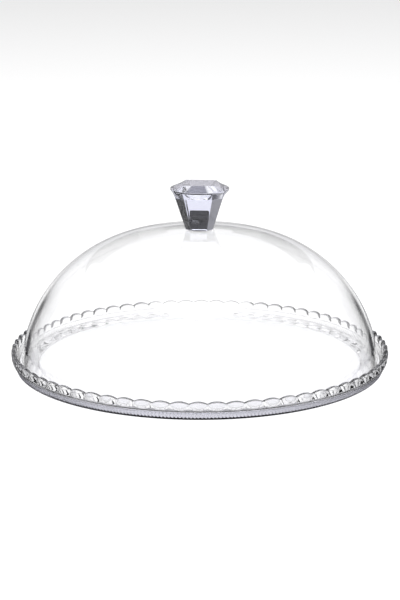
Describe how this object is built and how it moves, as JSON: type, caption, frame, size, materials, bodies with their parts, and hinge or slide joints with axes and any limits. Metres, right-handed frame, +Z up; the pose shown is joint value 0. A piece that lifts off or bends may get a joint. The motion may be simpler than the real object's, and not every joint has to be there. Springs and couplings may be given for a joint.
{
  "type": "cake plate with dome",
  "caption": "Low round clear glass cake plate with a fluted petal rim, and a lift-off clear glass dome with a solid faceted glass knob.",
  "frame": {"origin": "centre of the plate's underside, on the surface the plate stands on", "axes": "+Z up along the common axis of plate, dome and knob"},
  "size_m": [0.325, 0.325, 0.1585],
  "materials": {
    "plate_glass": "clear pressed glass, polished",
    "dome_glass": "clear glass, polished",
    "clear_adhesive": "clear cured adhesive",
    "knob_glass": "clear solid glass, cut flat on every side, polished"
  },
  "bodies": {
    "base": {"plate": "plate_glass"},
    "cover": {"dome": "dome_glass", "knob_bond": "clear_adhesive", "knob": "knob_glass"}
  },
  "joints": [
    {"name": "cover_lift", "type": "slide", "parent": "base", "child": "cover", "axis": [0, 0, 1], "range_m": [0, 0.2]}
  ]
}
